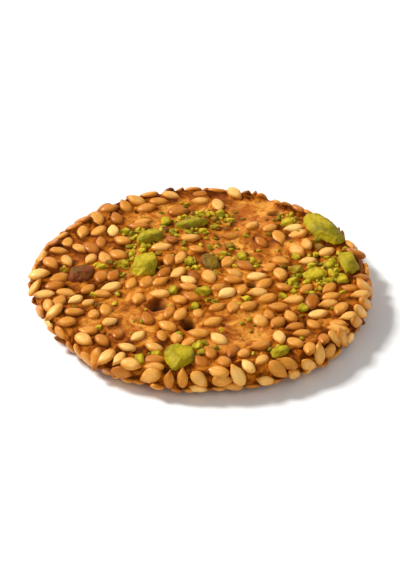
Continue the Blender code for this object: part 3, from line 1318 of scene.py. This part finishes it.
@dataclass
class Crumbs:
    """The finest crumbs of pistachio, copied from a few kinds, most of them near large pieces and on drifts.

    Sizes are shares of a crumb's length, and the length itself is its least, its most and its usual value.
    """

    disc: BakedDisc
    topping: Topping
    bed: SeedBed
    dough: bpy.types.Object
    count: int = 320
    draw_seed: int = 9
    kinds: int = 5
    chips: int = 4
    chip_depth: Range = (0.25, 0.4)
    merge: float = 0.03
    length_in_mm: tuple[float, float, float] = (0.4, 1.5, 0.7)
    width: Range = (0.6, 0.9)
    height: Range = (0.5, 0.75)
    tilt: float = 0.4
    lift: float = 0.12
    near_nut: float = 0.3
    on_drift: float = 0.75
    nut_spread: float = 3 * MM
    drift_spread: float = 1.6 * MM
    edge: float = 0.93
    pore_gap: float = 0.3 * MM
    room: float = 1.1 * MM
    stray: float = 0.04
    depth: Range = (0.1, 0.9)
    skin: Range = (0.4, 0.8)
    skin_chance: float = 0.15
    ripe: Range = (0.0, 0.8)

    def model_kinds(self, draw: random.Random) -> list[bpy.types.Object]:
        """Models a few kinds of crumb, each a chipped lump of length 1.

        Args:
            draw: Where the chips come from.

        Returns:
            The kinds.
        """
        kinds = []
        for _ in range(self.kinds):
            bpy.ops.object.select_all(action="DESELECT")
            bpy.ops.mesh.primitive_ico_sphere_add(subdivisions=2, radius=0.5)
            kinds.append(bpy.context.object)
            bpy.ops.object.mode_set(mode="EDIT")
            for _ in range(self.chips):
                out = Vector((draw.gauss(0, 1), draw.gauss(0, 1), draw.gauss(0, 1))).normalized()
                cut = out * draw.uniform(*self.chip_depth)
                bpy.ops.mesh.select_all(action="SELECT")
                bpy.ops.mesh.bisect(plane_co=cut, plane_no=out, use_fill=True, clear_outer=True)
            bpy.ops.mesh.select_all(action="SELECT")
            bpy.ops.mesh.remove_doubles(threshold=self.merge)
            bpy.ops.object.mode_set(mode="OBJECT")
        return kinds

    def throw(self, draw: random.Random) -> Range:
        """Throws a spot on the flat side, more often near a large piece or on a drift.

        Args:
            draw: Where the chance comes from.

        Returns:
            The spot's x and y.
        """
        chance = draw.random()
        if chance < self.near_nut:
            nut = draw.choice(self.topping.over)
            return nut.x + draw.gauss(0, self.nut_spread), nut.y + draw.gauss(0, self.nut_spread)
        if chance < self.on_drift:
            drifts = self.topping.drifts
            drift = draw.choices(drifts, [drift.thrown for drift in drifts])[0]
            return drift.spot(draw, self.drift_spread)
        return draw.uniform(-1, 1) * self.disc.radius, draw.uniform(-1, 1) * self.disc.radius

    def place(self, draw: random.Random) -> Range:
        """Finds a spot for a crumb, off the nuts and bubbles and between the seeds.

        Args:
            draw: Where the chance comes from.

        Returns:
            The spot's x and y.
        """
        while True:
            x, y = self.throw(draw)
            if math.hypot(x, y) > self.edge * self.disc.flat_radius:
                continue
            if self.topping.is_near_nut(x, y, True, 0) or self.topping.is_pore(x, y, self.pore_gap):
                continue
            if self.bed.room_at(x, y) > self.room or draw.random() < self.stray:
                return x, y

    def ground(self, x: float, y: float) -> float:
        """How high the dough is at this place of the flat side, with its lumps and pores."""
        is_hit, place, _, _ = self.dough.ray_cast(Vector((x, y, 2 * self.disc.flat_top)), Vector((0, 0, -1)))
        return place.z if is_hit else self.disc.flat_top

    def scatter(self) -> list[bpy.types.Object]:
        """Scatters the crumbs over the flat side.

        Returns:
            The crumbs, each with its own mesh.
        """
        draw = random.Random(self.draw_seed)
        kinds = self.model_kinds(draw)
        crumbs = []
        for _ in range(self.count):
            x, y = self.place(draw)
            size = draw.triangular(*self.length_in_mm) * MM
            crumb = add_object("crumb", draw.choice(kinds).data.copy())
            sizes = (size, size * draw.uniform(*self.width), size * draw.uniform(*self.height), 1)
            spin = Matrix.Rotation(draw.uniform(-self.tilt, self.tilt), 4, "X")
            lie = self.disc.lie(x, y, math.tau * draw.random(), over=True)
            lie.translation.z = self.ground(x, y)
            lift = Matrix.Translation((0, 0, self.lift * size))
            crumb.data.transform(lie @ lift @ spin @ Matrix.Diagonal(sizes))
            depth = draw.uniform(*self.depth)
            skin = draw.uniform(*self.skin) if draw.random() < self.skin_chance else 0.0
            for name, value in (("depth", depth), ("skin", skin), ("ripe", draw.uniform(*self.ripe))):
                paint(crumb, name, np.full(len(crumb.data.vertices), value))
            crumbs.append(crumb)
        for kind in kinds:
            bpy.data.objects.remove(kind)
        return crumbs


@dataclass
class PistachioPieces:
    """The chopped pistachio as one mesh: an egg of kernel for each piece, cut by a knife and broken rough.

    A cut is its tilt and its heading in degrees, and how far out it lies. The facets, the rough and the
    wrinkles are each how far apart their hills are and how high, and the green and peeled fields are each
    the start and the length of a fade.
    """

    disc: BakedDisc
    topping: Topping
    bed: SeedBed
    crumbs: Crumbs
    finish: PistachioFinish = PistachioFinish()
    over_sunk: float = 0.45
    under_sunk: float = 0.6
    bit_sunk: float = 0.35
    cuts: tuple[tuple[float, float, float], ...] = ((12, 8, 0.72), (74, 205, 0.78), (66, 95, 0.80))
    bit_cut: float = 0.78
    heading_step: float = 47
    chips: int = 7
    chip_seed: int = 9
    chip_rise: float = 0.8
    chip_share: Range = (0.76, 0.9)
    cut_threshold: float = 1e-6
    voxel: float = 0.13 * MM
    bit_voxel: float = 0.15 * MM
    noise_step: float = 17.3
    cut_band: float = 0.3 * MM
    facets: Range = (1.3 * MM, 0.14 * MM)
    facet_ridge: float = 0.25
    rough: Range = (0.5 * MM, 0.10 * MM)
    wrinkles: Range = (0.9 * MM, 0.08 * MM)
    wrinkle_shift: float = 5.0
    most_rise: float = 0.08 * MM
    green: Range = (0.45, 0.55)
    cut_pale: float = 0.28
    peel_size: float = 1.6 * MM
    peel_shift: float = 9.0
    peel: float = 0.6
    skin_gain: float = 1.7
    peeled: Range = (0.6, 0.35)
    smooth_angle: float = math.radians(40)

    def model_piece(self, nut: Nut, number: int, cut_share: float, voxel: float) -> bpy.types.Object:
        """Models one piece at the origin: an egg, cut flat by the knife, with rough cut faces.

        Args:
            nut: The piece's sizes.
            number: Its number, which turns its cuts.
            cut_share: How much nearer to the middle its large cuts are than usual.
            voxel: How fine its mesh is.

        Returns:
            The piece, with its numbers painted on.
        """
        bpy.ops.object.select_all(action="DESELECT")
        bpy.ops.mesh.primitive_ico_sphere_add(subdivisions=4, radius=0.5)
        piece = bpy.context.object
        bpy.ops.object.mode_set(mode="EDIT")
        bpy.ops.mesh.select_all(action="SELECT")
        bpy.ops.transform.resize(value=(nut.length, nut.width, nut.height))
        planes = []
        for out, share in self.knife_cuts(number, cut_share):
            reach = 0.5 * Vector((nut.length * out.x, nut.width * out.y, nut.height * out.z)).length
            planes.append((out, reach * share))
            at = out * reach * share
            bpy.ops.mesh.select_all(action="SELECT")
            bpy.ops.mesh.bisect(
                plane_co=at, plane_no=out, use_fill=True, clear_outer=True, threshold=self.cut_threshold
            )
        bpy.ops.object.mode_set(mode="OBJECT")
        remesh(piece, voxel)
        self.roughen(piece, nut, planes, self.noise_step * number)
        return piece

    def knife_cuts(self, number: int, cut_share: float) -> list[tuple[Vector, float]]:
        """The flat cuts of a piece: the large ones of the part's solid, and small chips.

        Args:
            number: The piece's number, which turns its cuts.
            cut_share: How much nearer to the middle its large cuts are than usual.

        Returns:
            The way out of each cut, and how far from the middle it lies, as a share of the reach there.
        """
        cuts = []
        for tilt, turn, share in self.cuts:
            lean, heading = math.radians(tilt), math.radians(turn + self.heading_step * number)
            side, up = math.sin(lean), math.cos(lean)
            cuts.append((Vector((side * math.cos(heading), side * math.sin(heading), up)), share * cut_share))
        draw = random.Random(self.chip_seed + number)
        for _ in range(self.chips):
            out = Vector((draw.gauss(0, 1), draw.gauss(0, 1), abs(draw.gauss(0, self.chip_rise))))
            cuts.append((out.normalized(), draw.uniform(*self.chip_share)))
        return cuts

    def roughen(
        self, piece: bpy.types.Object, nut: Nut, planes: Sequence[tuple[Vector, float]], shift: float
    ) -> None:
        """Breaks the cut faces rough, wrinkles the skin a little, and paints what is cut and what is skin.

        Args:
            piece: The piece, still at the origin.
            nut: Its sizes and looks.
            planes: The knife's cuts, each a normal and a distance from the middle.
            shift: What makes its noise differ from that of other pieces.
        """
        points, normals = points_of(piece), normals_of(piece)
        behind = np.min([reach - points @ np.array(out) for out, reach in planes], axis=0)
        cut = 1 - fade(behind, 0.0, self.cut_band)
        facet_size, facet_height = self.facets
        ridges = facet_height * (self.facet_ridge - np.abs(noise_at(points, facet_size, shift)))
        rough = ridges + hills(points, *self.rough, shift)
        rise = cut * rough + (1 - cut) * hills(points, *self.wrinkles, shift + self.wrinkle_shift)
        move_points(piece, points + normals * np.minimum(rise, self.most_rise)[:, None])
        depth = np.sqrt(((2 * points / (nut.length, nut.width, nut.height)) ** 2).sum(axis=1))
        peel = self.peel * noise_at(points, self.peel_size, shift + self.peel_shift)
        skin = (1 - cut * (1 - nut.skin)) * fade(nut.skin * self.skin_gain + peel, *self.peeled)
        paint(piece, "depth", fade(depth, *self.green) * (1 - self.cut_pale * cut))
        paint(piece, "skin", skin)
        paint(piece, "ripe", np.full(len(points), nut.ripe))

    def build(self) -> bpy.types.Object:
        """Models every piece, lays it on its side of the dough, and joins them.

        Returns:
            The pistachio's piece.
        """
        parts = []
        groups = (
            (self.topping.over, self.over_sunk, True, 1.0, self.voxel),
            (self.topping.under, self.under_sunk, False, 1.0, self.voxel),
            (self.bed.bits, self.bit_sunk, True, self.bit_cut, self.bit_voxel),
        )
        for nuts, sunk, over, cut_share, voxel in groups:
            for number, nut in enumerate(nuts):
                part = self.model_piece(nut, number, cut_share, voxel)
                lift = Matrix.Translation((0, 0, nut.height * (0.5 - sunk)))
                part.data.transform(self.disc.lie(nut.x, nut.y, math.radians(nut.turn), over) @ lift)
                parts.append(part)
        parts += self.crumbs.scatter()
        pick(*parts)
        bpy.ops.object.join()
        piece = parts[0]
        move_points(piece, held_above(points_of(piece), 0.0))
        bpy.ops.object.shade_smooth_by_angle(angle=self.smooth_angle)
        dress(piece, "pistachio_pieces", self.finish.material())
        return piece


# --- Dough -----------------------------------------------------------------------------------------------


@dataclass
class DoughBody:
    """The dough as one closed mesh, with the relief that baking and pressed-in seeds give it.

    Lumps and clouds are each how far apart their hills are and how high or strong, a pore's rim is its
    height as a share of the depth, where it lies and how narrow it is, and the edge_band field is the start
    and the length of a fade.
    """

    disc: BakedDisc
    topping: Topping
    bed: SeedBed
    finish: DoughFinish = DoughFinish()
    sides: int = 160
    bevel_steps: int = 8
    bevel_share: float = 0.995
    voxel: float = 0.22 * MM
    lumps: tuple[Range, ...] = ((3.4 * MM, 0.17 * MM), (1.7 * MM, 0.12 * MM), (0.8 * MM, 0.08 * MM))
    lump_shift: float = 7.1
    crack_seed: int = 1
    crack_size: float = 5.5 * MM
    crack_width: float = 0.07
    crack_depth: float = 0.22 * MM
    # painted shade: how much the cracks are darkened in colour
    crack_shade: float = 0.45
    crack_warp: float = 0.35
    crack_warp_size: float = 2.2 * MM
    crack_share: float = 0.5
    crack_clouds: Range = (7 * MM, 1.6)
    crack_shift: tuple[float, float, float] = (3, 8, 1)
    small_pores: int = 420
    pore_seed: int = 4
    fine_pore_mm: Range = (0.16, 0.34)
    coarse_pore_mm: Range = (0.34, 0.6)
    fine_share: float = 0.85
    pore_depth: Range = (0.5, 1.0)
    pore_steepness: int = 4
    pore_rim: tuple[float, float, float] = (0.12, 1.35, 8)
    # painted shade: how much the pores are darkened in colour, more the deeper they are
    pore_shade: float = 0.35
    pore_shade_depth: float = 0.9 * MM
    pore_ragged: float = 0.45
    pore_ragged_size: float = 1.2 * MM
    pore_shift: float = 53.0
    collar: float = 0.14 * MM
    collar_from: float = 0.9
    collar_width: float = 0.30 * MM
    nut_press: float = 1.5
    bit_press: float = 0.8
    # painted shade: the dough darkened round each seed and nut piece
    near_seed_shade: float = 0.22
    crowd_width: float = 0.85 * MM
    crowd_reach: float = 2.2
    crowd_share: float = 0.68
    crowd_from: float = 0.35
    # painted shade: the dough darkened where the seeds crowd together
    crowd_shade: float = 0.26
    deepest: float = 1.8 * MM
    base_brown: float = 0.22
    edge_band: Range = (0.78, 0.3)
    edge_brown: float = 0.14
    clouds: Range = (9 * MM, 0.18)
    cloud_shift: float = 31.0
    lump_brown_per_mm: float = 0.8
    tray_gap: float = 0.28 * MM

    def add_disc(self) -> bpy.types.Object:
        """Adds a cylinder, rounds its rim over, and gives it a fine, even mesh.

        Returns:
            The true disc.
        """
        disc = self.disc
        bpy.ops.object.select_all(action="DESELECT")
        bpy.ops.mesh.primitive_cylinder_add(
            vertices=self.sides, radius=disc.radius, depth=2 * disc.rim_half, location=(0, 0, disc.rim_middle)
        )
        piece = bpy.context.object
        bpy.ops.object.transform_apply(location=True)
        bpy.ops.object.mode_set(mode="EDIT")
        bpy.ops.mesh.select_mode(type="EDGE")
        bpy.ops.mesh.select_all(action="DESELECT")
        shape = bmesh.from_edit_mesh(piece.data)
        for edge in shape.edges:
            edge.select = abs(edge.verts[0].co.z - edge.verts[1].co.z) < disc.rim_half
        bmesh.update_edit_mesh(piece.data)
        rounding = self.bevel_share * disc.rim_half
        bpy.ops.mesh.bevel(offset=rounding, segments=self.bevel_steps, affect="EDGES", clamp_overlap=False)
        bpy.ops.object.mode_set(mode="OBJECT")
        remesh(piece, self.voxel)
        return piece

    def shape(self, piece: bpy.types.Object) -> None:
        """Gives the even disc the dough's section, its uneven outline and its swells.

        Args:
            piece: The true disc.
        """
        disc, moved = self.disc, []
        for x, y, height in points_of(piece):
            radius = math.hypot(x, y)
            share = radius / disc.flat_radius
            upper = disc.upper(height)
            crown = (disc.flat_top - disc.rim_top) * (1 - smooth_step(share))
            hollow = (disc.rim_bottom - disc.base) * (1 - disc.lift(share))
            height += upper * crown - (1 - upper) * hollow
            moved.append(disc.shaped(math.atan2(y, x), radius, height))
        move_points(piece, np.array(moved))

    def cracks(self, points: np.ndarray) -> np.ndarray:
        """Tears the surface along the borders of large cells, more in some places than in others.

        Args:
            points: The dough's points.

        Returns:
            How torn each point is, from 0 to 1.
        """
        noise.seed_set(self.crack_seed)  # noise_vector starts from the clock otherwise
        torn = []
        cloud_size, cloud_strength = self.crack_clouds
        for row in points:
            at = Vector(row)
            warp = self.crack_warp * noise.noise_vector(at / self.crack_warp_size)
            near, far = noise.voronoi(at / self.crack_size + warp)[0][:2]
            opening = max(0.0, 1 - (far - near) / self.crack_width)
            cloud = cloud_strength * noise.noise(at / cloud_size + Vector(self.crack_shift))
            torn.append(opening * smooth_step(self.crack_share + cloud))
        return np.array(torn)

    def pores(self) -> list[tuple[Vector, float, float]]:
        """Every open bubble: the large ones by name, and many small ones thrown at random.

        Returns:
            The middle, radius and depth of each.
        """
        large = [
            (self.disc.point(*self.disc.place_at(pore.x, pore.y, True)), pore.radius, pore.depth)
            for pore in self.topping.pores
        ]
        draw, small = random.Random(self.pore_seed), []
        while len(small) < self.small_pores:
            angle, place = self.disc.thrown(draw)
            sizes = self.fine_pore_mm if draw.random() < self.fine_share else self.coarse_pore_mm
            radius = draw.uniform(*sizes) * MM
            small.append((self.disc.point(angle, place), radius, draw.uniform(*self.pore_depth) * radius))
        return large + small

    def open_pores(self, points: np.ndarray, rise: np.ndarray, pit_shade: np.ndarray) -> None:
        """Sinks every bubble, with a low ragged rim round it, and paints shade into it.

        Args:
            points: The dough's points.
            rise: How far each point rises, which is changed.
            pit_shade: How much painted shade darkens each point in a pore, from 0 to 1, which is changed.
        """
        ragged = 1 + self.pore_ragged * noise_at(points, self.pore_ragged_size, self.pore_shift)
        rim_height, rim_at, rim_narrow = self.pore_rim
        for middle, radius, depth in self.pores():
            away = ragged * np.sqrt(((points - np.array(middle)) ** 2).sum(axis=1)) / radius
            sink = np.exp(-(away**self.pore_steepness))
            rise += -depth * sink + rim_height * depth * np.exp(-((away - rim_at) ** 2) * rim_narrow)
            # painted shade: the hole darkened in colour, more the deeper it is
            np.maximum(pit_shade, sink * min(1.0, self.pore_shade + depth / self.pore_shade_depth), out=pit_shade)

    def ovals(self) -> list[tuple[Matrix, float, float, float]]:
        """Everything that is pressed into the dough.

        Returns:
            Where each thing stands, its length and width, and how strongly it is pressed in.
        """
        bed = self.bed
        ovals = [(seed.matrix, bed.length, bed.width, seed.proud / bed.proud) for seed in bed.seeds]
        groups = (
            (self.topping.over, True, self.nut_press),
            (self.topping.under, False, self.nut_press),
            (bed.bits, True, self.bit_press),
        )
        for nuts, over, press in groups:
            for nut in nuts:
                stand = self.disc.lie(nut.x, nut.y, math.radians(nut.turn), over)
                ovals.append((stand, nut.length, nut.width, press))
        return ovals

    def collars(self, points: np.ndarray) -> tuple[np.ndarray, np.ndarray, np.ndarray]:
        """The dough that was pushed up round each seed and nut piece.

        Args:
            points: The dough's points.

        Returns:
            How far each point rises, how near a seed it is, which masks painted shade round the seeds, and
            how crowded by seeds, which masks painted shade between them; both from 0 to 1.
        """
        rise, near, free = np.zeros(len(points)), np.zeros(len(points)), np.ones(len(points))
        for matrix, length, width, press in self.ovals():
            local = (points - np.array(matrix.translation)) @ np.array(matrix.to_3x3().normalized())
            away = np.hypot(local[:, 0], local[:, 1])
            is_close = away < length / 2 + self.crowd_reach * self.crowd_width
            close = np.nonzero(is_close & (np.abs(local[:, 2]) < self.deepest))[0]
            local = local[close]
            out = np.hypot(local[:, 0] / (length / 2), local[:, 1] / (width / 2))
            gap = np.maximum(0.0, (out - self.collar_from) * width / 2)
            ring = np.exp(-((gap / (self.collar_width * press)) ** 2))
            rise[close] = np.maximum(rise[close], self.collar * press * ring)
            # the mask of the painted shade round each seed and nut piece
            near[close] = np.maximum(near[close], min(1.0, press) ** 2 * ring)
            share = self.crowd_share * min(1.0, press)
            # the crowding, which masks the painted shade between seeds and also the dough's shine
            free[close] *= 1 - share * np.exp(-((gap / self.crowd_width) ** 2))
        return rise, near, fade(1 - free, self.crowd_from, 1 - self.crowd_from)

    def browning(self, points: np.ndarray, lumps: np.ndarray) -> np.ndarray:
        """Bakes the dough, apart from its seeds: most at its edge and on its lumps.

        Args:
            points: The dough's points.
            lumps: How far its lumps rise at each point.

        Returns:
            How brown each point is.
        """
        out = np.hypot(points[:, 0], points[:, 1]) / self.disc.flat_radius
        edge = self.edge_brown * fade(out, *self.edge_band)
        clouds = hills(points, *self.clouds, self.cloud_shift)
        return self.base_brown + edge + clouds + self.lump_brown_per_mm * lumps / MM

    def build(self) -> bpy.types.Object:
        """Models the dough.

        Returns:
            The dough's piece.
        """
        piece = self.add_disc()
        self.shape(piece)
        points, normals = points_of(piece), normals_of(piece)
        rise = np.zeros(len(points))
        for number, lump in enumerate(self.lumps):
            rise += hills(points, *lump, self.lump_shift * number)
        lumps, torn = rise.copy(), self.cracks(points)
        rise -= self.crack_depth * torn
        # painted shade: the cracks darkened in colour, as well as sunk
        pit_shade = self.crack_shade * torn
        self.open_pores(points, rise, pit_shade)
        collar, near, crowd = self.collars(points)
        rise += collar
        move_points(piece, held_above(points + normals * rise[:, None], self.tray_gap))
        # real browning, plus painted shade round each seed and where the seeds crowd
        browning_and_shade = self.browning(points, lumps) + self.near_seed_shade * near + self.crowd_shade * crowd
        for name, values in (("browning_and_shade", browning_and_shade), ("pit_shade", pit_shade), ("open", 1 - crowd)):
            paint(piece, name, values)
        pick(piece)
        bpy.ops.object.shade_smooth()
        dress(piece, "dough", self.finish.material())
        return piece


# --- The studio ------------------------------------------------------------------------------------------


def direction(azimuth: float, elevation: float) -> Vector:
    """The way out to a place that is seen at these angles, in degrees; azimuth 0 is in front, 90 right."""
    turn, rise = math.radians(azimuth), math.radians(elevation)
    return Vector((math.sin(turn) * math.cos(rise), -math.cos(turn) * math.cos(rise), math.sin(rise)))


def aim(thing: bpy.types.Object, target: Vector, out: Vector, distance: float) -> None:
    """Hangs a lamp or a camera this far out from its target, and turns it to look there."""
    thing.location = target + out * distance
    thing.rotation_euler = (-out).to_track_quat("-Z", "Y").to_euler()


@dataclass(frozen=True)
class Lamp:
    """A soft square light that looks at the biscuit."""

    name: str
    azimuth: float
    elevation: float
    distance: float
    size: float
    power: float

    def build(self, target: Vector) -> bpy.types.Object:
        """Hangs the light.

        Args:
            target: The point that it looks at.

        Returns:
            The light.
        """
        data = bpy.data.lights.new(self.name, "AREA")
        data.shape, data.size, data.energy = "SQUARE", self.size, self.power
        lamp = add_object(self.name, data)
        aim(lamp, target, direction(self.azimuth, self.elevation), self.distance)
        return lamp


@dataclass
class Studio:
    """A plain pale floor, soft light from the upper left, and the camera."""

    middle: Vector
    image: tuple[int, int] = (400, 570)
    elevation: float = 35.0
    distance: float = 0.6
    field_width: float = 59.5 * MM
    sensor: float = 36.0
    floor_size: float = 2.6
    floor_colour: Colour = (250, 249, 247)
    floor_roughness: float = 0.6
    floor_shine: float = 0.2
    sky_colour: Colour = (255, 255, 255)
    overhead: float = 0.30
    horizon: float = 1.0
    horizon_height: Range = (0.08, 0.40)
    lamps: tuple[Lamp, ...] = (
        Lamp("key", azimuth=-118, elevation=42, distance=2.0, size=0.5, power=52),
        Lamp("fill", azimuth=20, elevation=50, distance=2.4, size=1.7, power=9.5),
    )

    def add_floor(self) -> bpy.types.Object:
        """Lays the floor that the biscuit lies on.

        Returns:
            The floor.
        """
        bpy.ops.object.select_all(action="DESELECT")
        bpy.ops.mesh.primitive_plane_add(size=self.floor_size)
        floor = bpy.context.object
        shader = Shader("pale_floor")
        shader.set(base_color=linear(self.floor_colour), roughness=self.floor_roughness)
        shader.set(specular_ior_level=self.floor_shine)
        dress(floor, "floor", shader.material)
        return floor

    def add_sky(self) -> None:
        """Lights the room: white walls all round, and a dimmer ceiling."""
        world = bpy.data.worlds.new("studio")
        bpy.context.scene.world = world
        world.use_nodes = True
        tree = world.node_tree
        way = add_node(tree, "TexCoord", {}).outputs["Generated"]
        height = add_node(tree, "SeparateXYZ", {"Vector": way}).outputs["Z"]
        strength = map_range(tree, height, self.horizon_height, (self.horizon, self.overhead), "LINEAR")
        background = tree.nodes["Background"]
        tree.links.new(strength, background.inputs["Strength"])
        background.inputs["Color"].default_value = linear(self.sky_colour)

    def add_camera(self) -> bpy.types.Object:
        """Sets up the camera in front, looking down on the biscuit.

        Returns:
            The camera.
        """
        data = bpy.data.cameras.new("camera")
        data.sensor_width = self.sensor
        data.lens = self.sensor * self.distance * self.image[0] / (self.field_width * self.image[1])
        camera = add_object("camera", data)
        aim(camera, self.middle, direction(0.0, self.elevation), self.distance)
        bpy.context.scene.camera = camera
        return camera

    def build(self) -> None:
        """Sets up the floor, the light and the camera, with plain colour management."""
        self.add_floor()
        self.add_sky()
        for lamp in self.lamps:
            lamp.build(self.middle)
        self.add_camera()
        bpy.context.scene.view_settings.view_transform = "Standard"


# --- The biscuit -----------------------------------------------------------------------------------------


def hand_over(piece: bpy.types.Object) -> None:
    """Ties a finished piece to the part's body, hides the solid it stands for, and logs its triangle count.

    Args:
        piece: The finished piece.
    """
    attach(piece, BODY)
    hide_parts(NODE)
    piece.data.calc_loop_triangles()
    LOG.info("%s: %d triangles", piece.name, len(piece.data.loop_triangles))


def main() -> None:
    """Builds the biscuit piece by piece, then the studio round it."""
    logging.basicConfig(level=logging.INFO, format="%(name)s %(message)s")
    disc, topping = BakedDisc(), Topping()
    bed = SeedBed(disc, topping)
    bed.throw()
    dough = DoughBody(disc, topping, bed).build()
    hand_over(dough)
    hand_over(SesameCoat(bed).build())
    crumbs = Crumbs(disc, topping, bed, dough)
    hand_over(PistachioPieces(disc, topping, bed, crumbs).build())
    low, high = CAD_BOX
    Studio(middle=(low + high) / 2).build()


if __name__ == "__main__":
    main()
